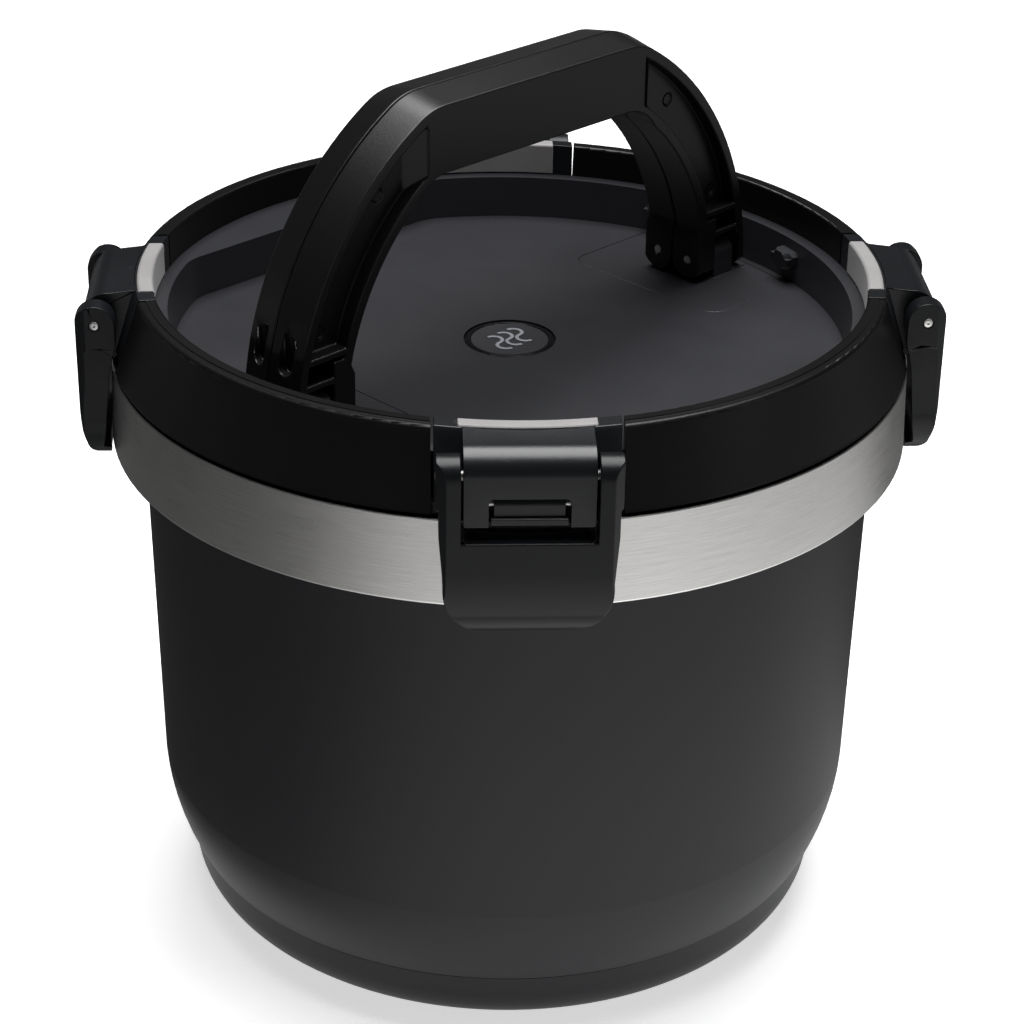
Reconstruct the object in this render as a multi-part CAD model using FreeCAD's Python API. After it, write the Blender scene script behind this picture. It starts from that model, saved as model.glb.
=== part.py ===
"""Round insulated slow cooker crock with a four-latch lid and a folding twin-bail handle.

Millimetres, +Z up, origin at the centre of the base. The four latches lie on the X and Y axes,
the front one at -Y. The handle line runs at HANDLE_DEG from +X. Every piece is its own solid.
"""

import FreeCAD
import Part
import math
import os

os.makedirs("parts", exist_ok=True)

V = FreeCAD.Vector
UP = V(0, 0, 1)

# ---- driving dimensions -------------------------------------------------------------------
# overall
RIM_Z = 208.0            # top of the collar above the table
RIM_R = 113.0            # outer radius of the collar at its top
COLLAR_BOTTOM_Z = 184.7  # lower edge of the collar
COLLAR_BOTTOM_R = 120.3
COLLAR_BORE_R = 107.2
# vessel
BAND_TOP_Z = 183.9
BAND_BOTTOM_Z = 158.3
BAND_TOP_R = 120.3
BAND_BOTTOM_R = 121.2
SHELL_TOP_R = 111.8
SHELL_LOW_R = 110.0      # where the shoulder starts
SHOULDER_Z = 48.0
SHELL_WALL = 1.0
LINER_R = 104.0          # bore of the inner pot
LINER_WALL = 0.8
LINER_RIM_Z = 179.8
LINER_FLOOR_Z = 22.0
CUP_R = 101.6            # foot cup
CUP_TOP_Z = 20.2         # where the cup meets the shell
# lid
LEDGE_Z = 197.6
DECK_Z = 184.2
POCKET_R_LOW = 101.8
POCKET_R_TOP = 103.0
CHORD = 89.2             # half width of the pocket across the handle line
DECK_SHEET = 2.5
PLUG_R = 102.6
PLUG_BOTTOM_Z = 166.0
MEDALLION_R = 13.6
# handle
HANDLE_DEG = 42.5
PIVOT_Z = 191.3
PIVOT_OFF = 6.3          # hinge axis from the centre plane
BAIL_T = 11.5            # thickness of one bail
BAIL_GAP = 0.15          # half the gap between the two bails
BAIL_R = 97.5            # outer contour of the legs
BAIL_R_IN = 76.3
BAIL_TOP_Z = 272.4
BAIL_UNDER_Z = 250.0
BAIL_DRAFT = 2.0         # fall of the outer surface from the centre plane outwards
LEG_FACE = 73.0          # inner face of the leg feet
SHELF_Z = 208.0          # shelf at the foot of a leg's recess
LUG_S0 = 81.6            # hinge knuckle, along the handle line
LUG_S1 = 90.4
PIN_R = 1.5
RUN = 0.06               # running clearance on the radius of a pin
# latches
GAP_HALF = 25.9          # half width of the cut in the collar
BRACKET_HALF = 25.1
PLATE_HALF = 17.6
PLATE_FACE = 126.8
PLATE_BOTTOM_Z = 185.5
LEVER_FACE = 128.8
LEVER_PIVOT = (122.8, 199.5)
LEVER_BOTTOM_Z = 152.6
WINDOW_Z = 182.2
ARM_IN = 18.2
CATCH_PIVOT = (122.8, 191.4)
CATCH_PIN_R = 1.0
NOTCH_HALF = 10.8
NOTCH_TOP_Z = 194.3

SIDES = (("front", 270), ("right", 0), ("back", 90), ("left", 180))


# ---- helpers ------------------------------------------------------------------------------
def save(name, shape):
    """Writes one node."""
    shape = shape.removeSplitter()
    shape.exportStep("parts/" + name + ".step")


def polygon(points):
    return Part.makePolygon([V(*p) for p in points] + [V(*points[0])])


def revolve(profile):
    """A closed profile of (r, z) points turned once round Z."""
    face = Part.Face(polygon([(r, 0, z) for r, z in profile]))
    return face.revolve(V(0, 0, 0), UP, 360)


def revolve_edges(edges):
    """The same for a profile of edges in the XZ plane."""
    face = Part.Face(Part.Wire(edges))
    return face.revolve(V(0, 0, 0), UP, 360)


def line(a, b):
    return Part.makeLine(V(a[0], 0, a[1]), V(b[0], 0, b[1]))


def arc(a, m, b):
    return Part.Arc(V(a[0], 0, a[1]), V(m[0], 0, m[1]), V(b[0], 0, b[1])).toShape()


def cylinder(r, z0, z1, x=0.0, y=0.0):
    return Part.makeCylinder(r, z1 - z0, V(x, y, z0), UP)


def block(x0, x1, y0, y1, z0, z1):
    return Part.makeBox(x1 - x0, y1 - y0, z1 - z0, V(x0, y0, z0))


def prism_y(points, y0, y1):
    """A polygon of (x, z) points pushed from y0 to y1."""
    return Part.Face(polygon([(x, y0, z) for x, z in points])).extrude(V(0, y1 - y0, 0))


def prism_x(points, x0, x1):
    """A polygon of (y, z) points pushed from x0 to x1."""
    return Part.Face(polygon([(x0, y, z) for y, z in points])).extrude(V(x1 - x0, 0, 0))


def prism_z(points, z0, z1):
    return Part.Face(polygon([(x, y, z0) for x, y in points])).extrude(V(0, 0, z1 - z0))


def rod_y(r, x, z, y0, y1):
    return Part.makeCylinder(r, y1 - y0, V(x, y0, z), V(0, 1, 0))


def turned(shape, degrees):
    out = shape.copy()
    out.rotate(V(0, 0, 0), UP, degrees)
    return out


def on_line(shape):
    """From the handle's own frame, line along X, to the lid."""
    return turned(shape, HANDLE_DEG)


def collar_r(z, extra=0.0):
    """Outer radius of the collar at height z."""
    share = (RIM_Z - z) / (RIM_Z - COLLAR_BOTTOM_Z)
    return RIM_R + share * (COLLAR_BOTTOM_R - RIM_R) + extra


# ---- vessel -------------------------------------------------------------------------------
def outer_shell():
    """Coated steel body: slightly tapered wall, shoulder, stepped-in foot and closed bottom."""
    w = SHELL_WALL
    top, low, foot = (SHELL_TOP_R, 160.0), (SHELL_LOW_R, SHOULDER_Z), (102.9, CUP_TOP_Z + 0.6)
    floor, neck = 12.6, 100.2
    outer = [line(top, low), arc(low, (107.75, 33.5), foot), line(foot, (102.3, CUP_TOP_Z))]
    outer.append(line((102.3, CUP_TOP_Z), (neck, CUP_TOP_Z)))
    outer.append(arc((neck, CUP_TOP_Z), (98.6, 15.2), (94.0, floor)))
    outer.append(line((94.0, floor), (0, floor)))
    inner_low = (low[0] - w, low[1])
    inner = [line((0, floor), (0, floor + w)), line((0, floor + w), (93.7, floor + w))]
    inner.append(arc((93.7, floor + w), (97.7, 15.9), (neck - w, CUP_TOP_Z)))
    inner.append(line((neck - w, CUP_TOP_Z), (101.7, CUP_TOP_Z + 1.4)))
    inner.append(arc((101.7, CUP_TOP_Z + 1.4), (106.7, 33.8), inner_low))
    inner.append(line(inner_low, (top[0] - w, top[1])))
    inner.append(line((top[0] - w, top[1]), top))
    return revolve_edges(outer + inner)


def steel_band():
    """Bare brushed ring round the mouth: outer wall with the lower edge rolled in to the shell."""
    t = 0.9
    lip, edge = 0.8, BAND_BOTTOM_Z
    hem = SHELL_TOP_R + 0.05
    edges = [
        line((hem, edge), (BAND_BOTTOM_R - lip, edge)),
        arc((BAND_BOTTOM_R - lip, edge), (BAND_BOTTOM_R - 0.23, edge + 0.23), (BAND_BOTTOM_R, edge + lip)),
        line((BAND_BOTTOM_R, edge + lip), (BAND_TOP_R, BAND_TOP_Z - 0.3)),
        line((BAND_TOP_R, BAND_TOP_Z - 0.3), (BAND_TOP_R - 0.3, BAND_TOP_Z)),
        line((BAND_TOP_R - 0.3, BAND_TOP_Z), (BAND_TOP_R - t, BAND_TOP_Z)),
        line((BAND_TOP_R - t, BAND_TOP_Z), (BAND_BOTTOM_R - t, edge + lip + 0.4)),
        line((BAND_BOTTOM_R - t, edge + lip + 0.4), (BAND_BOTTOM_R - 1.4, edge + t)),
        line((BAND_BOTTOM_R - 1.4, edge + t), (hem, edge + t)),
        line((hem, edge + t), (hem, edge)),
    ]
    return revolve_edges(edges)


def inner_liner():
    """Steel pot: straight wall, rounded floor corner and a flat rim reaching out to the band."""
    w, r, rim, floor, c = LINER_WALL, LINER_R, LINER_RIM_Z, LINER_FLOOR_Z, 16.0
    h = c * (1 - math.cos(math.radians(45)))
    outer_rim = BAND_TOP_R - 1.0
    edges = [
        line((0, floor), (r - c, floor)),
        arc((r - c, floor), (r - h, floor + h), (r, floor + c)),
        line((r, floor + c), (r, rim - 1.2)),
        arc((r, rim - 1.2), (r + 0.35, rim - 0.35), (r + 1.2, rim)),
        line((r + 1.2, rim), (outer_rim, rim)),
        line((outer_rim, rim), (outer_rim, rim - w)),
        line((outer_rim, rim - w), (r + w + 0.6, rim - w)),
        line((r + w + 0.6, rim - w), (r + w, rim - 1.4)),
        line((r + w, rim - 1.4), (r + w, floor + c)),
        arc((r + w, floor + c), (r - h + w * 0.71, floor + h - w * 0.71), (r - c, floor - w)),
        line((r - c, floor - w), (0, floor - w)),
        line((0, floor - w), (0, floor)),
    ]
    return revolve_edges(edges)


def base_cup():
    """Foot cup below the shell: upright side, rounded bottom, open middle over the sealing button."""
    r, top, t, b = CUP_R, CUP_TOP_Z, 1.6, 1.2
    edges = [
        line((r + 0.2, top), (r + 0.5, top - 0.3)),
        line((r + 0.5, top - 0.3), (r, 14.2)),
        arc((r, 14.2), (97.7, 5.0), (88.0, b)),
        line((88.0, b), (60.0, b)),
        line((60.0, b), (60.0, b + t)),
        line((60.0, b + t), (87.6, b + t)),
        arc((87.6, b + t), (96.3, 6.2), (r - t, 14.4)),
        line((r - t, 14.4), (100.35, top)),
        line((100.35, top), (r + 0.2, top)),
    ]
    shape = revolve_edges(edges).cut(foot_ridge())
    return max(shape.Solids, key=lambda s: s.Volume)


def foot_ridge():
    """Ridge on the rubber ring that sits in a groove of the cup."""
    return revolve([(77.0, 1.2), (81.0, 1.2), (81.0, 2.0), (77.0, 2.0)])


def foot_ring():
    """Rubber ring the crock stands on, pressed into the cup's flat bottom."""
    ring = revolve([(74.0, 0.0), (84.0, 0.0), (85.0, 0.8), (85.0, 1.2), (73.0, 1.2), (73.0, 0.8)])
    return ring.fuse(foot_ridge())


def vacuum_button():
    """Disc that closes the evacuation hole in the middle of the shell's bottom."""
    return revolve([(0, 11.2), (9.0, 11.2), (10.0, 12.0), (10.0, 12.6), (0, 12.6)])


# ---- lid ----------------------------------------------------------------------------------
def collar_blank():
    """The collar before the latch gaps are cut: rim with a fine step, flared skin, lower skirt."""
    edges = [
        line((COLLAR_BORE_R, LEDGE_Z - 3.0), (COLLAR_BORE_R, RIM_Z - 0.8)),
        arc((COLLAR_BORE_R, RIM_Z - 0.8), (COLLAR_BORE_R + 0.23, RIM_Z - 0.23), (COLLAR_BORE_R + 0.8, RIM_Z)),
        line((COLLAR_BORE_R + 0.8, RIM_Z), (110.3, RIM_Z)),
        line((110.3, RIM_Z), (110.5, RIM_Z - 0.3)),
        line((110.5, RIM_Z - 0.3), (RIM_R - 1.2, RIM_Z - 0.4)),
        arc((RIM_R - 1.2, RIM_Z - 0.4), (RIM_R - 0.3, RIM_Z - 0.8), (RIM_R + 0.15, RIM_Z - 1.7)),
        line((RIM_R + 0.15, RIM_Z - 1.7), (COLLAR_BOTTOM_R - 0.4, COLLAR_BOTTOM_Z + 1.2)),
        line((COLLAR_BOTTOM_R - 0.4, COLLAR_BOTTOM_Z + 1.2), (COLLAR_BOTTOM_R - 0.1, COLLAR_BOTTOM_Z + 0.5)),
        line((COLLAR_BOTTOM_R - 0.1, COLLAR_BOTTOM_Z + 0.5), (COLLAR_BOTTOM_R - 0.9, COLLAR_BOTTOM_Z)),
        line((COLLAR_BOTTOM_R - 0.9, COLLAR_BOTTOM_Z), (118.2, COLLAR_BOTTOM_Z)),
        line((118.2, COLLAR_BOTTOM_Z), (118.2, 180.4)),
        line((118.2, 180.4), (115.6, 180.4)),
        line((115.6, 180.4), (115.6, LEDGE_Z - 3.0)),
        line((115.6, LEDGE_Z - 3.0), (COLLAR_BORE_R, LEDGE_Z - 3.0)),
    ]
    return revolve_edges(edges)


def latch_gap():
    """What a latch takes out of the collar, on +X: everything outside the low inner skirt."""
    g = GAP_HALF
    high = block(100.0, 130.0, -g, g, 188.0, 215.0)
    skin = block(100.0, 130.0, -g, g, 178.0, 188.1).cut(cylinder(118.2, 177.0, 189.0))
    return high.fuse(skin)


def lid_collar():
    shape = collar_blank()
    for _, azimuth in SIDES:
        shape = shape.cut(turned(latch_gap(), azimuth))
    return shape


def pocket_wire(grow, z):
    """Outline of the handle well at height z: a circle with two straight sides, corners rounded."""
    r = POCKET_R_LOW + grow + (z - DECK_Z) * (POCKET_R_TOP - POCKET_R_LOW) / (LEDGE_Z - DECK_Z)
    half, f = CHORD + grow, 14.0 + grow
    xc, yc = math.sqrt((r - f) ** 2 - (half - f) ** 2), half - f
    reach = r / (r - f)
    on_circle, on_side = V(xc * reach, yc * reach, z), V(xc, half, z)
    bend = math.atan2(yc, xc) / 2 + math.radians(45)
    between = V(xc + f * math.cos(bend), yc + f * math.sin(bend), z)

    def at(p, sx, sy):
        return V(sx * p.x, sy * p.y, z)

    edges = []
    for sx, sy in ((1, 1), (-1, 1), (-1, -1), (1, -1)):
        first, last = (on_circle, on_side) if sx * sy > 0 else (on_side, on_circle)
        edges.append(Part.Arc(at(first, sx, sy), at(between, sx, sy), at(last, sx, sy)).toShape())
        if sx * sy > 0:
            edges.append(Part.makeLine(at(on_side, sx, sy), at(on_side, -sx, sy)))
        else:
            edges.append(Part.Arc(at(on_circle, sx, sy), V(sx * r, 0, z), at(on_circle, sx, -sy)).toShape())
    return Part.Wire(edges)


def pocket(grow, z0, z1):
    """The handle well as a solid between two heights."""
    return Part.makeLoft([pocket_wire(grow, z0), pocket_wire(grow, z1)], True, True)


def is_upright(edge):
    a, b = edge.Vertexes[0].Point, edge.Vertexes[-1].Point
    return abs(a.z - b.z) > 1.0 and abs(a.x) + abs(a.y) > 20 and edge.Length < 60


def hinge_plate_outline(z0, z1, grow=0.0):
    """Rounded plate set flush into the deck under one end of the handle, +X end."""
    body = block(59.0 - grow, 99.4, -31.0 - grow, 31.0 + grow, z0, z1)
    corners = [e for e in body.Edges if is_upright(e) and e.Vertexes[0].X < 70]
    return body.makeFillet(6.0 + grow, corners).common(cylinder(99.4 + grow, z0 - 1, z1 + 1))


def wall_bump(side):
    """Oblong detent on the well's wall that meets the slot in a folded bail's foot."""
    angle = math.degrees(math.asin(side * 27.0 / 100.0))
    x0, x1 = 98.3, 103.4
    body = prism_x([(-4.6, 190.2), (-3.4, 189.0), (3.4, 189.0), (4.6, 190.2),
                    (4.6, 193.2), (3.4, 194.4), (-3.4, 194.4), (-4.6, 193.2)], x0, x1)
    nose = Part.makeCone(2.6, 6.5, 5.1, V(x0 - 0.6, 0, 191.7), V(1, 0, 0))
    flat = nose.fuse(block(x0 - 0.6, x1, -4.6, 4.6, 190.6, 192.8)).common(body)
    return turned(flat.common(body), angle)


def lid_deck():
    """Moulded lid top: ledge ring, handle well and deck, hollow under the ledge."""
    skirt = revolve([(0, DECK_Z - DECK_SHEET), (COLLAR_BORE_R, DECK_Z - DECK_SHEET),
                     (COLLAR_BORE_R, LEDGE_Z), (0, LEDGE_Z)])
    well = on_line(pocket(0.0, DECK_Z, LEDGE_Z + 0.01))
    hollow = cylinder(COLLAR_BORE_R - 2.2, DECK_Z - DECK_SHEET - 1, LEDGE_Z - 2.4)
    hollow = hollow.cut(on_line(pocket(2.2, DECK_Z - DECK_SHEET - 2, LEDGE_Z)))
    shape = skirt.cut(well).cut(hollow)
    for end in (0, 180):
        plate = on_line(turned(hinge_plate_outline(DECK_Z - DECK_SHEET - 1, DECK_Z + 0.5), end))
        shape = shape.cut(plate)
        for side in (-1, 1):
            shape = shape.fuse(on_line(turned(wall_bump(side), end)).cut(cylinder(98.0, 180, 200)))
    shape = shape.cut(cylinder(MEDALLION_R + 0.5, DECK_Z - 1.6, DECK_Z + 1))
    return shape


def hinge_plate(end):
    """Insert in the deck with the two knuckles that carry the bails' hinge pins."""
    low = DECK_Z - DECK_SHEET
    shape = hinge_plate_outline(low, DECK_Z, -0.12)
    mid = (LUG_S0 + LUG_S1) / 2
    for side in (-1, 1):
        y = side * PIVOT_OFF
        knuckle = Part.makeCylinder(4.6, LUG_S1 - LUG_S0, V(LUG_S0, y, PIVOT_Z), V(1, 0, 0))
        stem = block(LUG_S0, LUG_S1, y - 4.6, y + 4.6, DECK_Z - 0.5, PIVOT_Z)
        foot = block(LUG_S0, 97.0, y - 4.6, y + 4.6, DECK_Z - 0.5, DECK_Z + 0.5)
        hole = Part.makeCylinder(PIN_R, 20, V(mid - 10, y, PIVOT_Z), V(1, 0, 0))
        shape = shape.fuse(knuckle).fuse(stem).fuse(foot).cut(hole)
    shape = shape.common(cylinder(99.3, 170, 220))
    return on_line(turned(shape, end))


def bail_pins():
    """Four steel pins, one through each foot of each bail; their round ends show inside."""
    pins = []
    for end in (0, 180):
        for side in (-1, 1):
            pin = Part.makeCylinder(PIN_R, 20.6, V(LEG_FACE + 0.1, side * PIVOT_OFF, PIVOT_Z), V(1, 0, 0))
            pins.append(on_line(turned(pin, end)))
    return Part.makeCompound(pins)


def medallion():
    """Plain round insert with two raised rings and three wavy steam marks."""
    base = cylinder(MEDALLION_R, DECK_Z - 1.6, DECK_Z - 0.3)
    ring = cylinder(MEDALLION_R - 0.6, DECK_Z - 0.4, DECK_Z - 0.05)
    ring = ring.cut(cylinder(MEDALLION_R - 1.6, DECK_Z - 1, DECK_Z + 1))
    shape = base.fuse(ring)
    for x in (-4.2, 0.0, 4.2):
        mark = steam_mark(x)
        shape = shape.fuse(mark)
    return on_line(shape)


def steam_mark(x):
    """One S-shaped raised stroke."""
    z0, z1, w = DECK_Z - 0.4, DECK_Z - 0.05, 1.2
    mark = None
    for cy, sign in ((2.6, 1), (-2.6, -1)):
        ring = cylinder(2.6 + w / 2, z0, z1, x, cy).cut(cylinder(2.6 - w / 2, z0 - 1, z1 + 1, x, cy))
        keep = block(x, x + 9, cy - 5, cy + 5, z0, z1) if sign > 0 else block(x - 9, x, cy - 5, cy + 5, z0, z1)
        part = ring.common(keep)
        mark = part if mark is None else mark.fuse(part)
    return mark


def lid_plug():
    """Cup under the deck that drops into the pot and carries the gasket."""
    r, b, top = PLUG_R, PLUG_BOTTOM_Z, DECK_Z - DECK_SHEET
    return revolve([
        (0, b), (r - 3.0, b), (r - 1.0, b + 1.2), (r - 1.0, 170.0), (r - 2.6, 170.0), (r - 2.6, 175.6),
        (r - 1.0, 175.6), (r - 1.0, 180.1), (COLLAR_BORE_R, 180.1), (COLLAR_BORE_R, top),
        (r - 4.4, top), (r - 4.4, b + 2.0), (0, b + 2.0),
    ])


def lid_foam():
    """Insulating disc filling the plug."""
    return cylinder(PLUG_R - 4.8, PLUG_BOTTOM_Z + 2.0, DECK_Z - DECK_SHEET)


def lid_gasket():
    """Ribbed sealing ring in the plug's groove, just clear of the pot's wall."""
    r, z = PLUG_R, 170.0
    return revolve([
        (r - 2.6, z), (r - 0.6, z), (r + 1.1, z + 0.7), (r + 1.1, z + 1.2), (r - 0.4, z + 1.7),
        (r - 0.4, z + 2.6), (r + 1.1, z + 3.3), (r + 1.1, z + 3.8), (r - 0.4, z + 4.3),
        (r - 0.4, z + 5.6), (r - 2.6, z + 5.6),
    ])


# ---- latches, built on +X and turned to each side ------------------------------------------
def round_foot(half, z0, z1, r, x0, x1):
    """A slab between two X planes, half wide each side of Y=0, its two corners at z0 rounded."""
    h = r * (1 - math.cos(math.radians(45)))

    def p(y, z):
        return V(x0, y, z)

    edges = [
        Part.makeLine(p(-half, z1), p(-half, z0 + r)),
        Part.Arc(p(-half, z0 + r), p(-half + h, z0 + h), p(-half + r, z0)).toShape(),
        Part.makeLine(p(-half + r, z0), p(half - r, z0)),
        Part.Arc(p(half - r, z0), p(half - h, z0 + h), p(half, z0 + r)).toShape(),
        Part.makeLine(p(half, z0 + r), p(half, z1)),
        Part.makeLine(p(half, z1), p(-half, z1)),
    ]
    return Part.Face(Part.Wire(edges)).extrude(V(x1 - x0, 0, 0))


def latch_bracket():
    """Fixed half of a latch: fills the collar's gap and carries the hinge plate outside it."""
    sector = revolve([
        (COLLAR_BORE_R, 194.8), (COLLAR_BORE_R, RIM_Z), (RIM_R - 0.8, RIM_Z - 0.2),
        (RIM_R + 0.1, RIM_Z - 1.3), (collar_r(188.2, -0.3), 188.2), (115.8, 188.2), (115.8, 194.8),
    ])
    sector = sector.common(block(90, 130, -BRACKET_HALF, BRACKET_HALF, 180, 215))
    x, z = PLATE_FACE, PLATE_BOTTOM_Z
    profile = [
        V(109.5, 0, 208.0), V(118.8, 0, 206.9), V(125.2, 0, 204.4), V(x, 0, 200.4),
    ]
    edges = [
        Part.makeLine(profile[0], profile[1]),
        Part.Arc(profile[1], profile[2] + V(-0.9, 0, 0.55), profile[3]).toShape(),
        Part.makeLine(profile[3], V(x, 0, z + 0.6)),
        Part.makeLine(V(x, 0, z + 0.6), V(x - 0.6, 0, z)),
        Part.makeLine(V(x - 0.6, 0, z), V(118.6, 0, z)),
        Part.makeLine(V(118.6, 0, z), V(111.8, 0, 192.0)),
        Part.makeLine(V(111.8, 0, 192.0), V(109.5, 0, 196.0)),
        Part.makeLine(V(109.5, 0, 196.0), profile[0]),
    ]
    plate = Part.Face(Part.Wire(edges)).extrude(V(0, 2 * PLATE_HALF, 0))
    plate.translate(V(0, -PLATE_HALF, 0))
    plate = plate.common(round_foot(PLATE_HALF, z, 215.0, 1.5, 100.0, 130.0))
    plate = plate.cut(cylinder(118.3, 170, 188.2))
    shape = sector.fuse(plate)
    n = NOTCH_HALF
    notch = round_foot(n, -NOTCH_TOP_Z, -180.0, 1.4, 117.0, 130.0)
    notch.rotate(V(0, 0, 0), V(1, 0, 0), 180)
    hollow = block(119.0, 123.8, -n, n, NOTCH_TOP_Z - 10.9, NOTCH_TOP_Z + 1.1)
    shape = shape.cut(notch).cut(hollow)
    shape = shape.cut(rod_y(PIN_R, *LEVER_PIVOT, -30, 30))
    shape = shape.cut(rod_y(CATCH_PIN_R, *CATCH_PIVOT, -14, 14))
    return shape.cut(insert_blank(0.0))


def insert_blank(shrink):
    """Room for the soft insert in the bracket's rim."""
    r0, r1, half = COLLAR_BORE_R - 0.4, 111.6 - shrink, 18.7 - shrink
    ring = revolve([(r0, LEDGE_Z + 0.3), (r0, RIM_Z + 0.15), (r1, RIM_Z + 0.15), (r1, LEDGE_Z + 0.3)])
    return ring.common(block(90, 130, -half, half, 190, 215))


def grip_insert():
    """Soft grey pad set in the rim and showing inside the collar, its top edges eased."""
    r0, r1, top, c = COLLAR_BORE_R - 0.4, 111.6, RIM_Z + 0.15, 0.6
    eased = revolve([(r0, 190), (r0, top - c), (r0 + c, top), (r1 - c, top), (r1, top - c), (r1, 190)])
    return insert_blank(0.0).common(eased)


def latch_pin():
    """Lever hinge pin, its ends flush with the lever's arms."""
    return rod_y(PIN_R, *LEVER_PIVOT, -24.9, 24.9)


def catch_pin():
    return rod_y(CATCH_PIN_R, *CATCH_PIVOT, -13.6, 13.6)


def lever_side():
    """Side outline of a lever: round top about the hinge, flat face, lower end curving in."""
    x, z = LEVER_PIVOT
    r, face = 6.0, LEVER_FACE
    edges = [
        line((x - r, z), (x - r, LEVER_BOTTOM_Z)),
        line((x - r, LEVER_BOTTOM_Z), (122.6, LEVER_BOTTOM_Z)),
        arc((122.6, LEVER_BOTTOM_Z), (125.6, LEVER_BOTTOM_Z + 2.2), (127.3, 159.5)),
        arc((127.3, 159.5), (128.5, 166.5), (face, 174.0)),
        line((face, 174.0), (face, z)),
        arc((face, z), (x, z + r), (x - r, z)),
    ]
    return Part.Face(Part.Wire(edges))


def lever_front():
    """Front outline of a lever, tapering down to two large corner radii."""
    top, low, z0 = 24.85, 22.9, LEVER_BOTTOM_Z
    wide, tall = 12.5, 16.5
    in_y, in_z = wide * (1 - math.cos(math.radians(45))), tall * (1 - math.cos(math.radians(45)))

    def p(y, z):
        return V(110, y, z)

    edges = [
        Part.makeLine(p(-top, 206), p(-top, 192)),
        Part.makeLine(p(-top, 192), p(-low, z0 + tall)),
        Part.Arc(p(-low, z0 + tall), p(-low + in_y, z0 + in_z), p(-low + wide, z0)).toShape(),
        Part.makeLine(p(-low + wide, z0), p(low - wide, z0)),
        Part.Arc(p(low - wide, z0), p(low - in_y, z0 + in_z), p(low, z0 + tall)).toShape(),
        Part.makeLine(p(low, z0 + tall), p(top, 192)),
        Part.makeLine(p(top, 192), p(top, 206)),
        Part.makeLine(p(top, 206), p(-top, 206)),
    ]
    return Part.Face(Part.Wire(edges)).extrude(V(25, 0, 0))


def lever():
    """Swinging half of a latch: two arms on the hinge pin and one broad pad over the band."""
    body = lever_side().extrude(V(0, 60, 0))
    body.translate(V(0, -30, 0))
    body = body.common(lever_front())
    bevel = [(105, -26), (124.4, -26), (129.0, -22.0), (129.0, 22.0), (124.4, 26), (105, 26)]
    body = body.common(prism_z(bevel, 140, 215))
    room = revolve([(0, 130), (0, 215), (116.6, 215), (117.9, 199.5), (121.5, 184.0),
                    (124.0, 158.0), (121.6, 157.4), (121.6, 130)])
    body = body.cut(room)
    window = round_foot(ARM_IN, WINDOW_Z, 215.0, 2.0, 100.0, 135.0)
    body = body.cut(window)
    sill = [(LEVER_FACE + 1, WINDOW_Z - 1.1), (LEVER_FACE + 1, WINDOW_Z + 1),
            (LEVER_FACE - 1.6, WINDOW_Z + 1)]
    body = body.cut(prism_y(sill, -ARM_IN, ARM_IN))
    for side in (-1, 1):
        body = body.cut(arm_step(side))
    return body.cut(rod_y(PIN_R + RUN, *LEVER_PIVOT, -30, 30))


def arm_step(side):
    """Shallow step on an arm's outer side, below the boss round the pin."""
    y0, y1 = side * 24.05, side * 27.0
    lo, hi = min(y0, y1), max(y0, y1)
    return prism_y([(116, 160), (127.2, 160), (127.2, 190.6), (121.4, 191.9), (119.6, 190.4), (116, 190.4)],
                   lo, hi)


def catch():
    """Small spring tab in the plate's notch, rolled round its own pin."""
    x, z = CATCH_PIVOT
    barrel = rod_y(2.5, x, z, -9.5, 9.5)
    upper = block(x, 125.3, -9.5, 9.5, z - 3.4, z)
    lower = prism_y([(121.4, z - 5.4), (126.0, z - 5.4), (126.6, z - 4.8), (126.6, z - 3.2),
                     (125.9, z - 2.8), (121.4, z - 2.8)], -10.3, 10.3)
    shape = barrel.fuse(upper).fuse(lower)
    return shape.cut(rod_y(CATCH_PIN_R + RUN, x, z, -14, 14))


# ---- handle, front bail built with the line along X and its thickness towards -Y ------------
def bail_wire(y, inset):
    """Closed outline of a bail at depth y, its outer side moved in by inset."""
    c = PIVOT_Z - PIVOT_OFF
    r, top = BAIL_R - inset, BAIL_TOP_Z - inset
    a0, leave = math.asin((182.0 - c) / r), math.radians(60)
    rest = math.radians(90) - leave

    def on_arc(angle, sign):
        return V(sign * r * math.cos(angle), y, c + r * math.sin(angle))

    b = on_arc(leave, 1)
    bend = (top - b.z) / (1 - math.cos(rest))
    x_top = b.x - bend * math.sin(rest)
    m = V(x_top + bend * math.sin(rest / 2), y, top - bend * (1 - math.cos(rest / 2)))
    right = [on_arc(a0, 1), on_arc(leave / 2, 1), b, m, V(x_top, y, top)]
    left = [V(-p.x, p.y, p.z) for p in right]
    edges = [
        Part.Arc(right[0], right[1], right[2]).toShape(),
        Part.Arc(right[2], right[3], right[4]).toShape(),
        Part.makeLine(right[4], left[4]),
        Part.Arc(left[4], left[3], left[2]).toShape(),
        Part.Arc(left[2], left[1], left[0]).toShape(),
        Part.makeLine(left[0], right[0]),
    ]
    return Part.Wire(edges)


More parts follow.
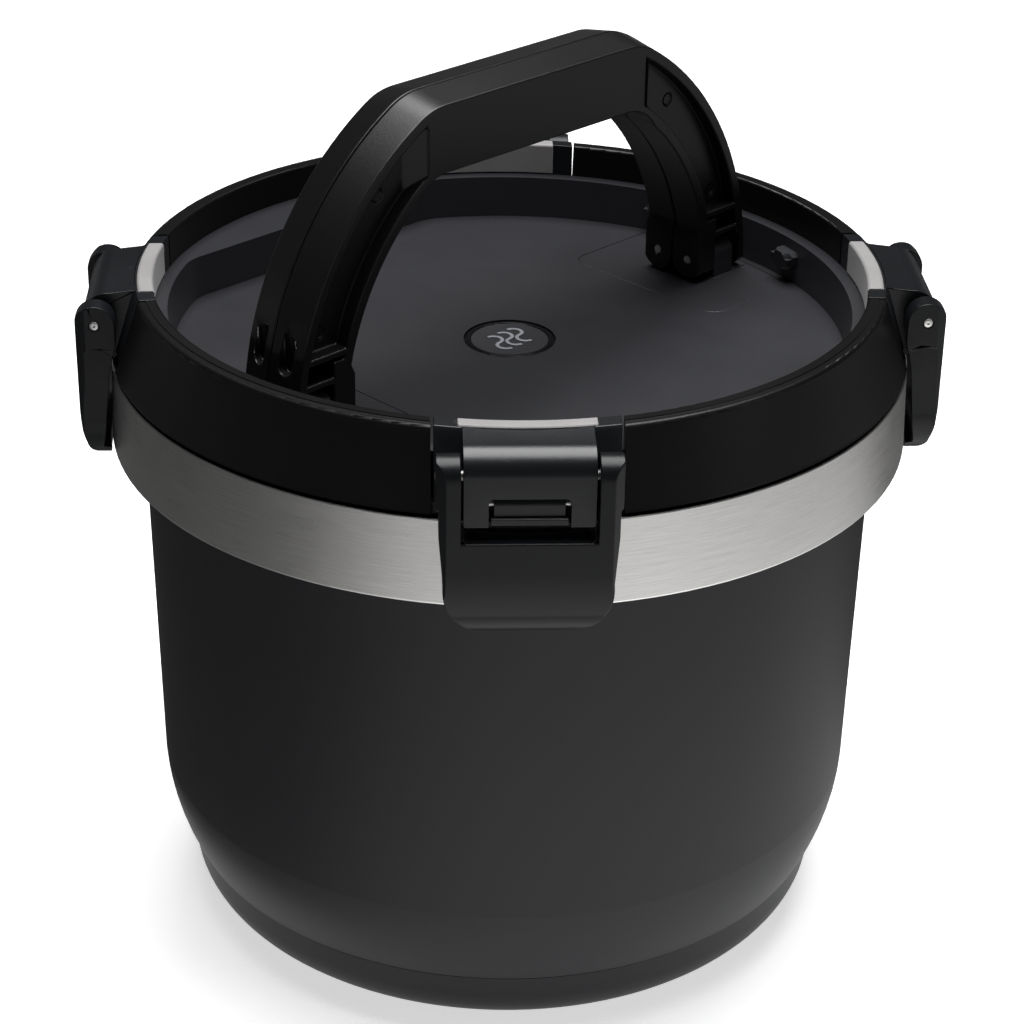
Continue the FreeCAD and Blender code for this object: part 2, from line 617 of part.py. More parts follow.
def bail_opening():
    """The space under the bar and between the legs, as a tool."""
    c, r, z = PIVOT_Z - PIVOT_OFF, BAIL_R_IN, BAIL_UNDER_Z
    a = math.radians(49.5)
    end = V(r * math.cos(a), 1, c + r * math.sin(a))
    low = V(math.sqrt(r * r - 25.0), 1, 180.0)
    mid = V(r * math.cos(a / 2), 1, c + r * math.sin(a / 2))

    def flip(p):
        return V(-p.x, p.y, p.z)

    turn, top = V(45.4, 1, 247.5), V(36.0, 1, z)
    edges = [
        Part.Arc(low, mid, end).toShape(),
        Part.Arc(end, turn, top).toShape(),
        Part.makeLine(top, flip(top)),
        Part.Arc(flip(top), flip(turn), flip(end)).toShape(),
        Part.Arc(flip(end), flip(mid), flip(low)).toShape(),
        Part.makeLine(flip(low), low),
    ]
    return Part.Face(Part.Wire(edges)).extrude(V(0, -20, 0))


def ring_sector(r0, r1, a0, a1, y0, y1):
    """Part of a flat ring about the bail's contour centre, in the XZ plane."""
    c = PIVOT_Z - PIVOT_OFF
    a0, a1 = math.radians(a0), math.radians(a1)
    m = (a0 + a1) / 2

    def p(r, a):
        return V(r * math.cos(a), y0, c + r * math.sin(a))

    edges = [
        Part.Arc(p(r1, a0), p(r1, m), p(r1, a1)).toShape(),
        Part.makeLine(p(r1, a1), p(r0, a1)),
        Part.Arc(p(r0, a1), p(r0, m), p(r0, a0)).toShape(),
        Part.makeLine(p(r0, a0), p(r1, a0)),
    ]
    return Part.Face(Part.Wire(edges)).extrude(V(0, y1 - y0, 0))


def leg_channel():
    """Recess in the +X leg: shallow above, two deep pockets under a shelf, and moulding marks."""
    shallow, deep, front = -6.9, -3.2, -20.0
    ramp = prism_z([(45.0, front), (45.0, -11.4), (50.5, shallow), (110.0, shallow), (110.0, front)],
                   SHELF_Z, 280.0)
    upper = ring_sector(79.8, 92.3, -3, 66, shallow, front).common(ramp)
    lower = ring_sector(79.8, 92.3, -3, 40, deep, front)
    lower = lower.common(block(60.0, 110.0, front, deep, 170.0, SHELF_Z - 2.0))
    lower = lower.cut(block(60.0, 110.0, front, deep, 198.4, 200.4))
    lower = lower.cut(block(72.0, 81.2, front, deep, 180.0, 205.0))
    tools = [upper, lower]
    for x, z in ((60.2, 248.0), (82.3, 213.0)):
        tools.append(rod_y(1.9, x, z, shallow - 0.1, shallow + 0.5))
    return tools


def bail():
    """One bail: bar, two channelled legs and feet rounded about the hinge."""
    faces = [bail_wire(-BAIL_GAP, 0.0), bail_wire(-BAIL_T, BAIL_DRAFT)]
    body = Part.makeLoft(faces, True, True)
    body = body.cut(bail_opening())
    for sign in (1, -1):
        foot = prism_y([(sign * LEG_FACE, 182.0), (sign * LEG_FACE, 199.4), (sign * 75.2, 204.0),
                        (sign * 80.0, 204.0), (sign * 80.0, 182.0)], -BAIL_T, -BAIL_GAP)
        body = body.fuse(foot)
    body = body.removeSplitter()
    for end in (0, 180):
        fork = block(LUG_S0 - 0.4, 93.0, -20, 5, 180, 196.8)
        for tool in leg_channel() + [fork, detent_slot()]:
            if end:
                tool = tool.mirror(V(0, 0, 0), V(1, 0, 0))
            body = body.cut(tool)
    body = body.cut(foot_trim())
    for sign in (1, -1):
        hole = Part.makeCylinder(PIN_R + RUN, 30, V(sign * 70, -PIVOT_OFF, PIVOT_Z), V(sign, 0, 0))
        body = body.cut(hole)
    return body


def foot_trim():
    """Rounds the feet about the hinge so the bail can turn beside its twin."""
    r = PIVOT_OFF - BAIL_GAP
    below = block(-110, 110, -20, 5, 170, PIVOT_Z)
    keep = Part.makeCylinder(r, 220, V(-110, -PIVOT_OFF, PIVOT_Z), V(1, 0, 0))
    return below.cut(keep)


def detent_slot():
    """Obround slot in the foot's end face."""
    lo, hi, r, y = 205.6, 213.2, 2.3, -5.6
    x = 91.7
    slot = block(x, 110, y - r, y + r, lo, hi)
    for z in (lo, hi):
        slot = slot.fuse(Part.makeCylinder(r, 18, V(x, y, z), V(1, 0, 0)))
    return slot


# ---- everything ---------------------------------------------------------------------------
def main():
    save("outer_shell", outer_shell())
    save("steel_band", steel_band())
    save("inner_liner", inner_liner())
    save("base_cup", base_cup())
    save("foot_ring", foot_ring())
    save("vacuum_button", vacuum_button())

    save("lid_collar", lid_collar())
    save("lid_deck", lid_deck())
    save("lid_plug", lid_plug())
    save("lid_foam", lid_foam())
    save("lid_gasket", lid_gasket())
    save("medallion", medallion())
    save("hinge_plate_right", hinge_plate(0))
    save("hinge_plate_left", hinge_plate(180))
    bail_pins().exportStep("parts/bail_pins.step")

    bracket, insert, swing, tab = latch_bracket(), grip_insert(), lever(), catch()
    for side, azimuth in SIDES:
        save("latch_bracket_" + side, turned(bracket, azimuth))
        save("grip_insert_" + side, turned(insert, azimuth))
        save("lever_" + side, turned(swing, azimuth))
        save("catch_" + side, turned(tab, azimuth))
    pins = [turned(latch_pin(), azimuth) for _, azimuth in SIDES]
    Part.makeCompound(pins).exportStep("parts/latch_pins.step")
    pins = [turned(catch_pin(), azimuth) for _, azimuth in SIDES]
    Part.makeCompound(pins).exportStep("parts/catch_pins.step")

    front = bail()
    save("bail_front", on_line(front))
    save("bail_rear", on_line(turned(front, 180)))


main()
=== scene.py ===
"""Insulated slow cooker crock: finishes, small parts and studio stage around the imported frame.

Metres throughout, in the frame of the part: base on the floor, +Z up, front latch towards -Y.
"""

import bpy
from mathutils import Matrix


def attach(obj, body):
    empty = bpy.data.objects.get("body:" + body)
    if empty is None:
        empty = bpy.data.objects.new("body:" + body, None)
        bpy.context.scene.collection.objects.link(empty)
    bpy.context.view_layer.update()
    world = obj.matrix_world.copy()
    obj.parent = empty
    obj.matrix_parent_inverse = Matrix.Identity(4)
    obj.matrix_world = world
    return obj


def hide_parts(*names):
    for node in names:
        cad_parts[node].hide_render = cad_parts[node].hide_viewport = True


bl_info = {
    "name": "Slow Cooker Crock",
    "version": (1, 0, 0),
    "blender": (4, 5, 0),
    "location": "View3D > Sidebar > Crock",
    "description": "Finishes and detail for an insulated crock with four latches and a folding handle",
    "category": "Object",
}

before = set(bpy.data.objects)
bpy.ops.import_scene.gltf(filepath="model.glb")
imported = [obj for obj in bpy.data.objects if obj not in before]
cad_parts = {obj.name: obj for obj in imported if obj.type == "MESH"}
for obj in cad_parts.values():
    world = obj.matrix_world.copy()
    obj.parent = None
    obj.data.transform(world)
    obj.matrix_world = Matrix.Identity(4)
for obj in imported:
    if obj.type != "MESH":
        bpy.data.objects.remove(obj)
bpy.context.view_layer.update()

import math

import bmesh
import bpy
from bpy.props import FloatProperty, FloatVectorProperty, PointerProperty
from mathutils import Matrix, Vector

# ---- places and sizes taken from the frame, metres ------------------------------------------
# latches, and the bearing of each in degrees from +X
SIDES = (("front", 270), ("right", 0), ("back", 90), ("left", 180))
LEVER_PIVOT_RADIUS = 0.1228
LEVER_PIVOT_HEIGHT = 0.1995
LEVER_PIN_LENGTH = 0.0500
# handle: its line's bearing, and its pins from the lid's middle
HANDLE_TURN = math.radians(42.5)
HANDLE_PIN_REACH = 0.0834        # middle of a pin, along the handle's line
HANDLE_PIN_OFFSET = 0.0063       # each side of that line
HANDLE_PIN_HEIGHT = 0.1913
HANDLE_PIN_LENGTH = 0.0206
# medallion
MARKS_TOP = 0.18415              # top of the raised ring and strokes
MARKS_RING_RADIUS = 0.01175      # between the strokes and the ring
MEDALLION_EDGE = 0.00008

# ---- rounding of edges ----------------------------------------------------------------------
CREASE = math.radians(28.0)      # edges sharper than this are rounded
FLAT = math.radians(0.5)         # facets closer than this are one flat
SAME_POINT = 3e-6
BRACKET_EDGE_SHARE = 0.55        # of the latch edge, in one step: the notch's corners are small
CATCH_EDGE_SHARE = 0.6
HINGE_PLATE_EDGE_SHARE = 0.6     # of the lid edge

# ---- stage ----------------------------------------------------------------------------------
# soft boxes: name, place, target, width, height
TOP_BOX = ("top light", (0.05, 0.14, 1.30), (0.0, 0.0, 0.15), 0.9, 0.95)
SIDE_BOX = ("right light", (1.5, -0.75, 0.85), (0.0, 0.0, 0.12), 0.7, 1.0)
CAMERA_PLACE = (0.0, -0.75379, 0.51868)
CAMERA_YAW = math.radians(0.120)
CAMERA_PITCH = math.radians(27.611)
CAMERA_ROLL = math.radians(-0.931)
CAMERA_SWING = -2.75             # degrees about the crock's axis
CARD_RINGS = (0.13, 0.6, 3.0)    # radii of the bounce card's rings
CARD_HEIGHT = 0.0004
CARD_STEPS = 96
# light of the bounce card by bearing in degrees, 270 being in front of the crock
CARD_STOPS = ((0, 0.68), (12, 0.50), (24, 0.12), (36, 0.03), (90, 0.10), (140, 0.06), (170, 0.05),
              (190, 0.07), (214, 0.10), (229, 0.30), (244, 0.66), (270, 1.0), (304, 1.0), (325, 0.84),
              (350, 0.68))


# ---- shader maths ---------------------------------------------------------------------------
class Value:
    """An output socket of a finish. Arithmetic on it adds Math nodes."""

    def __init__(self, finish, socket):
        self.finish = finish
        self.socket = socket

    def maths(self, operation, *others):
        inputs = {i: v for i, v in enumerate((self,) + others)}
        return self.finish.node("ShaderNodeMath", {"operation": operation}, inputs)

    def __add__(self, other):
        return self.maths("ADD", other)

    def __radd__(self, other):
        return self.maths("ADD", other)

    def __sub__(self, other):
        return self.maths("SUBTRACT", other)

    def __rsub__(self, other):
        return self.finish.node("ShaderNodeMath", {"operation": "SUBTRACT"}, {0: other, 1: self})

    def __mul__(self, other):
        return self.maths("MULTIPLY", other)

    def __rmul__(self, other):
        return self.maths("MULTIPLY", other)

    def __truediv__(self, other):
        return self.maths("DIVIDE", other)

    def __rtruediv__(self, other):
        return self.finish.node("ShaderNodeMath", {"operation": "DIVIDE"}, {0: other, 1: self})

    def over(self, low, high):
        """0 below low, 1 above high, straight between."""
        settings = {"clamp": True}
        inputs = {"Value": self, "From Min": low, "From Max": high}
        return self.finish.node("ShaderNodeMapRange", settings, inputs)


class Finish:
    """A material with a Principled shader, and the nodes that feed it."""

    def __init__(self, name):
        self.material = bpy.data.materials.new(name)
        self.material.use_nodes = True
        self.tree = self.material.node_tree
        self.tree.nodes.clear()
        output = self.tree.nodes.new("ShaderNodeOutputMaterial")
        self.shader = self.tree.nodes.new("ShaderNodeBsdfPrincipled")
        self.tree.links.new(self.shader.outputs[0], output.inputs[0])

    def node(self, kind, settings=None, inputs=None, output=0):
        """Adds a node: its settings first, then the values or links of its sockets."""
        node = self.tree.nodes.new(kind)
        for key, value in (settings or {}).items():
            if key == "stops":
                self.set_stops(node.color_ramp, value)
            else:
                setattr(node, key, value)
        for key, value in (inputs or {}).items():
            self.feed(node.inputs[key], value)
        return Value(self, node.outputs[output])

    def set_stops(self, ramp, stops):
        while len(ramp.elements) > 1:
            ramp.elements.remove(ramp.elements[0])
        for i, (place, colour) in enumerate(stops):
            stop = ramp.elements[0] if i == 0 else ramp.elements.new(place)
            stop.position = place
            stop.color = (*colour, 1.0)

    def feed(self, socket, value):
        if isinstance(value, Value):
            self.tree.links.new(value.socket, socket)
        else:
            socket.default_value = value

    def set(self, **sockets):
        """Feeds the shader's own sockets; spaces in their names are underscores here."""
        for key, value in sockets.items():
            self.feed(self.shader.inputs[key.replace("_", " ")], value)

    def place(self):
        return self.node("ShaderNodeTexCoord", None, None, "Object")

    def axes(self, vector):
        parts = self.node("ShaderNodeSeparateXYZ", None, {0: vector})
        outputs = parts.socket.node.outputs
        return [Value(self, outputs[i]) for i in range(3)]

    def join(self, x, y, z):
        return self.node("ShaderNodeCombineXYZ", None, {0: x, 1: y, 2: z})

    def noise(self, vector, scale, detail=2.0, roughness=0.5, warp=0.0):
        inputs = {"Vector": vector, "Scale": scale, "Detail": detail, "Roughness": roughness,
                  "Distortion": warp}
        return self.node("ShaderNodeTexNoise", {"noise_dimensions": "3D"}, inputs)

    def mix(self, share, first, second):
        """A colour between two colours."""
        node = self.tree.nodes.new("ShaderNodeMix")
        node.data_type = "RGBA"
        for index, value in ((0, share), (6, first), (7, second)):
            if not isinstance(value, Value) and index:
                value = (*value, 1.0)
            self.feed(node.inputs[index], value)
        return Value(self, node.outputs[2])

    def bump(self, height, depth):
        inputs = {"Height": height, "Distance": depth, "Strength": 1.0}
        self.feed(self.shader.inputs["Normal"], self.node("ShaderNodeBump", None, inputs))


def shade(colour, factor):
    """A lighter or darker colour of the same hue."""
    return tuple(c * factor for c in colour)


# ---- finishes -------------------------------------------------------------------------------
# noise scales are cycles per metre, bump depths are metres
def moulded(name, colour, roughness, grain, depth, scuffs=0.0, specular=0.5):
    """Spark-textured moulded plastic with faint flow clouding and, if asked, light scuffs."""
    f = Finish(name)
    at = f.place()
    fine = f.noise(at, grain, 3.0, 0.6)
    soft = f.noise(at, grain * 0.35, 2.0)
    cloud = f.noise(at, 14.0, 3.0, 0.55, 0.4)
    tone = f.mix((cloud * 0.7 + fine * 0.3).over(0.3, 0.7), shade(colour, 0.82), shade(colour, 1.2))
    rough = roughness + (cloud - 0.5) * 0.10 + (fine - 0.5) * 0.10
    if scuffs:
        x, y, z = f.axes(at)
        slant = f.join(x * 260.0 + z * 90.0, y * 260.0 - z * 60.0, z * 900.0 + x * 300.0)
        marks = f.noise(slant, 1.0, 1.0).over(0.70, 0.74) * f.noise(at, 45.0).over(0.5, 0.62)
        tone = f.mix(marks * scuffs, tone, shade(colour, 2.6))
        rough = rough + marks * scuffs * 0.12
    f.set(Base_Color=tone, Roughness=rough, Specular_IOR_Level=specular)
    f.bump(fine * 0.65 + soft * 0.35, depth)
    return f.material


def powder_coat(name, colour, roughness, specular):
    """Baked powder coat: orange-peel waviness under a fine grain, with a few dust nibs."""
    f = Finish(name)
    at = f.place()
    peel = f.noise(at, 420.0, 2.0, 0.5)
    grain = f.noise(at, 2300.0, 3.0, 0.65)
    cloud = f.noise(at, 7.0, 3.0, 0.5, 0.6)
    nib = f.noise(at, 900.0, 1.0).over(0.77, 0.80)
    mottle = (cloud * 0.55 + grain * 0.45).over(0.32, 0.68)
    tone = f.mix(mottle, shade(colour, 0.86), shade(colour, 1.16))
    tone = f.mix(nib * 0.35, tone, shade(colour, 2.2))
    rough = roughness + (cloud - 0.5) * 0.07 + (grain - 0.5) * 0.12
    f.set(Base_Color=tone, Roughness=rough, Specular_IOR_Level=specular)
    f.bump(peel * 0.55 + grain * 0.45 + nib * 0.5, 0.00004)
    return f.material


def brushed_ring(name, colour, roughness, anisotropy, contrast):
    """Steel brushed round the Z axis: hair lines of many lengths, deeper strokes here and there."""
    f = Finish(name)
    x, y, z = f.axes(f.place())
    angle = y.maths("ARCTAN2", x)
    radius = (x * x + y * y).maths("SQRT")
    across = z + radius * 0.7
    hair = f.noise(f.join(angle * 16.0, across * 9000.0, 0.0), 1.0, 4.0, 0.7)
    stroke = f.noise(f.join(angle * 5.0, across * 2600.0, 3.0), 1.0, 2.0, 0.6)
    patch = f.noise(f.join(angle * 9.0, across * 160.0, 7.0), 1.0, 2.0)
    lines = hair * 0.6 + stroke * 0.4
    dark, light = shade(colour, 1.0 - contrast), shade(colour, 1.0 + contrast * 0.5)
    tone = f.mix(lines.over(0.3, 0.7), dark, light)
    rough = roughness + (lines - 0.5) * 0.22 + (patch - 0.5) * 0.08
    f.set(Base_Color=tone, Roughness=rough, Metallic=1.0, Anisotropic=anisotropy)
    f.bump(lines, 0.000012)
    return f.material


def turned_pin(name, colour, smears):
    """Cut steel wire: a fine grit, and smears so many to the metre."""
    f = Finish(name)
    at = f.place()
    grit = f.noise(at, 3800.0, 3.0, 0.6)
    smear = f.noise(at, smears, 2.0)
    tone = f.mix((grit * 0.5 + smear * 0.5).over(0.3, 0.7), shade(colour, 0.75), shade(colour, 1.15))
    f.set(Base_Color=tone, Roughness=0.26 + grit * 0.18 + (smear - 0.5) * 0.1, Metallic=1.0)
    f.bump(grit, 0.00002)
    return f.material


def raised_marks(name, colour, mark, top, ring_radius):
    """Moulded disc whose raised strokes are pale, inside a raised ring that is dark and glossy."""
    f = Finish(name)
    at = f.place()
    x, y, z = f.axes(at)
    fine = f.noise(at, 1900.0, 3.0, 0.6)
    wear = f.noise(at, 260.0, 2.0)
    raised = z.over(top - 0.00004, top - 0.00002)
    ring = (x * x + y * y).maths("SQRT").over(ring_radius - 0.00005, ring_radius + 0.00005)
    plain = f.mix(fine.over(0.3, 0.7), shade(colour, 0.8), shade(colour, 1.25))
    dark = f.mix(ring * 0.9, plain, shade(colour, 0.2))
    pale = f.mix((wear * 0.6 + fine * 0.4).over(0.3, 0.7), shade(mark, 0.8), shade(mark, 1.15))
    f.set(Base_Color=f.mix(raised * (1.0 - ring), dark, pale))
    f.set(Roughness=0.46 + (fine - 0.5) * 0.12 - ring * 0.24)
    f.bump(fine, 0.00002)
    return f.material


def soft_rubber(name, colour, roughness):
    """Matt rubber: velvety fine grain, a little bloom and small pale specks."""
    f = Finish(name)
    at = f.place()
    fine = f.noise(at, 2600.0, 3.0, 0.65)
    bloom = f.noise(at, 60.0, 3.0, 0.5, 0.5)
    speck = f.noise(at, 1500.0, 0.0).over(0.74, 0.78)
    tone = f.mix((bloom * 0.6 + fine * 0.4).over(0.3, 0.7), shade(colour, 0.88), shade(colour, 1.1))
    tone = f.mix(speck * 0.25, tone, shade(colour, 1.4))
    f.set(Base_Color=tone, Roughness=roughness + (bloom - 0.5) * 0.1, Sheen_Weight=0.15)
    f.bump(fine, 0.00003)
    return f.material


def rigid_foam(name, colour):
    """Cut insulating foam: open cells of two sizes and a yellowed cast in patches."""
    f = Finish(name)
    at = f.place()
    cells, large = (
        f.node("ShaderNodeTexVoronoi", {"feature": "F1"}, {"Vector": at, "Scale": scale}, "Distance")
        for scale in (900.0, 320.0))
    patch = f.noise(at, 22.0, 3.0)
    tone = f.mix(patch.over(0.35, 0.65), shade(colour, 0.9), colour)
    tone = f.mix(cells.over(0.5, 0.9), tone, shade(colour, 0.7))
    f.set(Base_Color=tone, Roughness=0.85 + (patch - 0.5) * 0.1)
    f.bump(cells * 0.6 + large * 0.4, 0.0004)
    return f.material


def studio_floor(name, colour):
    """Matt pale board with a fine tooth, lit a little from within so that shadows stay soft."""
    f = Finish(name)
    at = f.place()
    tooth = f.noise(at, 700.0, 2.0)
    drift = f.noise(at, 1.2, 2.0)
    tone = f.mix(drift.over(0.35, 0.65), shade(colour, 0.985), colour)
    f.set(Base_Color=tone, Roughness=0.85 + (tooth - 0.5) * 0.05, Specular_IOR_Level=0.2)
    f.set(Emission_Color=(1.0, 1.0, 1.0, 1.0), Emission_Strength=0.62)
    f.bump(tooth, 0.00004)
    return f.material


def bounce_card(name, stops, strength):
    """A card that fades outwards and changes with the bearing, for what polished sides mirror."""
    f = Finish(name)
    x, y, z = f.axes(f.place())
    turn = (y.maths("ARCTAN2", x) / (2 * math.pi)).maths("FRACT")
    greys = [(bearing / 360.0, (light, light, light)) for bearing, light in stops]
    glow = f.node("ShaderNodeValToRGB", {"stops": greys}, {0: turn})
    near = (x * x + y * y).maths("SQRT").over(0.47, 0.24)
    light = f.mix(near * 0.6 + 0.4, (0.0, 0.0, 0.0), glow)
    f.set(Base_Color=(0.0, 0.0, 0.0, 1.0), Roughness=1.0)
    f.set(Emission_Color=light, Emission_Strength=strength)
    return f.material


# ---- making pieces --------------------------------------------------------------------------
def turn_z(degrees):
    """A turn about the crock's axis."""
    return Matrix.Rotation(math.radians(degrees), 4, "Z")


def add_piece(name, mesh, body, material, slot, *nodes):
    """Puts a mesh in the scene as a piece that rides on a body and stands for some nodes."""
    piece = bpy.data.objects.new(name, mesh)
    bpy.context.scene.collection.objects.link(piece)
    piece.data.materials.clear()
    piece.data.materials.append(material)
    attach(piece, body)
    if nodes:
        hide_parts(*nodes)
    return piece


def finish_nodes(material, *names):
    """Gives frame nodes a finish."""
    for name in names:
        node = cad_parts[name]
        node.data.materials.clear()
        node.data.materials.append(material)


def eased(node, body, material, slot, radius, segments=2):
    """A copy of a node with its flat facets joined and its edges rounded, standing for the node."""
    mesh = bpy.data.meshes.new(node + "_eased")
    work = bmesh.new()
    work.from_mesh(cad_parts[node].data)
    bmesh.ops.remove_doubles(work, verts=work.verts, dist=SAME_POINT)
    bmesh.ops.dissolve_limit(work, angle_limit=FLAT, verts=work.verts, edges=work.edges)
    for face in work.faces:
        face.smooth = True
    for edge in work.edges:
        edge.smooth = edge.calc_face_angle(0.0) < CREASE
    work.to_mesh(mesh)
    work.free()
    piece = add_piece(node + "_eased", mesh, body, material, slot, node)
    bevel = piece.modifiers.new("eased edges", "BEVEL")
    bevel.width = radius
    bevel.segments = segments
    bevel.limit_method = "ANGLE"
    bevel.angle_limit = CREASE
    bevel.use_clamp_overlap = False
    bevel.harden_normals = True
    return piece


def lathe(name, profile, steps, centre, axis):
    """A closed body turned from (radius, along) points about an axis through a point."""
    work = bmesh.new()
    turn = Vector((0, 0, 1)).rotation_difference(axis).to_matrix()
    rings = []
    for radius, along in profile:
        ring = []
        if radius == 0:
            ring.append(work.verts.new(centre + turn @ Vector((0, 0, along))))
        else:
            for i in range(steps):
                a = 2 * math.pi * i / steps
                spot = Vector((radius * math.cos(a), radius * math.sin(a), along))
                ring.append(work.verts.new(centre + turn @ spot))
        rings.append(ring)
    for low, high in zip(rings, rings[1:]):
        for i in range(steps):
            j = (i + 1) % steps
            corners = [low[i % len(low)], low[j % len(low)], high[j % len(high)], high[i % len(high)]]
            face = work.faces.new(list(dict.fromkeys(corners)))
            face.smooth = True
    bmesh.ops.recalc_face_normals(work, faces=work.faces)
    mesh = bpy.data.meshes.new(name)
    work.to_mesh(mesh)
    work.free()
    return mesh


def joined(name, meshes):
    """Several meshes as one."""
    work = bmesh.new()
    for mesh in meshes:
        work.from_mesh(mesh)
    result = bpy.data.meshes.new(name)
    work.to_mesh(result)
    work.free()
    for mesh in meshes:
        bpy.data.meshes.remove(mesh)
    return result


def pin_mesh(name, centre, axis, length, radius, dome):
    """A pin with turned chamfers, slightly domed ends and a small centre pip."""
    half = length / 2
    pip, rim = radius * 0.16, radius * 0.72
    end = [(0, half - dome * 0.55), (pip * 0.8, half - dome * 0.5), (pip, half - dome * 0.02)]
    end += [(rim * 0.6, half - dome * 0.06), (rim, half - dome * 0.3)]
    end += [(radius * 0.93, half - dome * 0.75), (radius, half - dome * 1.5)]
    profile = end + [(r, -a) for r, a in reversed(end)]
    return lathe(name, profile, 28, centre, axis)


# ---- settings -------------------------------------------------------------------------------
class CrockColours(bpy.types.PropertyGroup):
    """Colours of the crock's finishes, linear."""

    body: FloatVectorProperty(
        name="Body coat", description="Powder coat on the shell and foot cup",
        subtype="COLOR", size=3, min=0.0, max=1.0, default=(0.0095, 0.0096, 0.0118))
    plastic: FloatVectorProperty(
        name="Lid plastic", description="Moulded collar and deck",
        subtype="COLOR", size=3, min=0.0, max=1.0, default=(0.0036, 0.0035, 0.0037))
    deck: FloatVectorProperty(
        name="Deck plastic", description="Sunk deck and hinge plates",
        subtype="COLOR", size=3, min=0.0, max=1.0, default=(0.0155, 0.0158, 0.0190))
    handle: FloatVectorProperty(
        name="Handle plastic", description="Both halves of the handle",
        subtype="COLOR", size=3, min=0.0, max=1.0, default=(0.0040, 0.0039, 0.0040))
    latch: FloatVectorProperty(
        name="Latch plastic", description="Latch brackets, levers and catches",
        subtype="COLOR", size=3, min=0.0, max=1.0, default=(0.0048, 0.0056, 0.0070))
    steel: FloatVectorProperty(
        name="Bare steel", description="Band, pot and pins",
        subtype="COLOR", size=3, min=0.0, max=1.0, default=(0.80, 0.79, 0.775))
    silicone: FloatVectorProperty(
        name="Grip silicone", description="Soft pads in the rim and the lid seal",
        subtype="COLOR", size=3, min=0.0, max=1.0, default=(0.245, 0.235, 0.235))
    mark: FloatVectorProperty(
        name="Medallion mark", description="Raised steam marks on the medallion",
        subtype="COLOR", size=3, min=0.0, max=1.0, default=(0.26, 0.27, 0.30))
    floor: FloatVectorProperty(
        name="Floor", description="Studio floor",
        subtype="COLOR", size=3, min=0.0, max=1.0, default=(0.86, 0.86, 0.86))


class CrockDetail(bpy.types.PropertyGroup):
    """Sizes of the small detail that the frame leaves out."""

    handle_edge: FloatProperty(
        name="Handle edge", description="Radius on the handle's edges",
        subtype="DISTANCE", unit="LENGTH", min=0.0, max=0.002, default=0.0006)
    latch_edge: FloatProperty(
        name="Latch edge", description="Radius on the latch parts' edges",
        subtype="DISTANCE", unit="LENGTH", min=0.0, max=0.002, default=0.00035)
    lid_edge: FloatProperty(
        name="Lid edge", description="Radius on the lid mouldings' edges",
        subtype="DISTANCE", unit="LENGTH", min=0.0, max=0.002, default=0.0004)
    pin_radius: FloatProperty(
        name="Pin radius", description="Radius of the lever and handle pins",
        subtype="DISTANCE", unit="LENGTH", min=0.0005, max=0.003, default=0.0015)
    pin_dome: FloatProperty(
        name="Pin dome", description="Height of the rounding on a pin's end",
        subtype="DISTANCE", unit="LENGTH", min=0.0, max=0.001, default=0.0003)


class CrockStage(bpy.types.PropertyGroup):
    """Light and camera."""

    lens: FloatProperty(
        name="Lens", description="Focal length on a 36 mm sensor, in millimetres",
        min=20.0, max=300.0, default=94.92)
    top_power: FloatProperty(
        name="Top light", description="Power of the overhead soft box",
        subtype="POWER", unit="POWER", min=0.0, max=500.0, default=28.0)
    side_power: FloatProperty(
        name="Side light", description="Power of the right-hand soft box",
        subtype="POWER", unit="POWER", min=0.0, max=500.0, default=1.6)
    room: FloatProperty(
        name="Room light", description="Brightness of the white room",
        min=0.0, max=3.0, default=0.03)
    card: FloatProperty(
        name="Bounce card", description="Brightness of the graded card round the foot",
        min=0.0, max=5.0, default=1.5)
    reach: FloatProperty(
        name="Floor reach", description="Half the width of the floor",
        subtype="DISTANCE", unit="LENGTH", min=1.0, max=20.0, default=7.0)


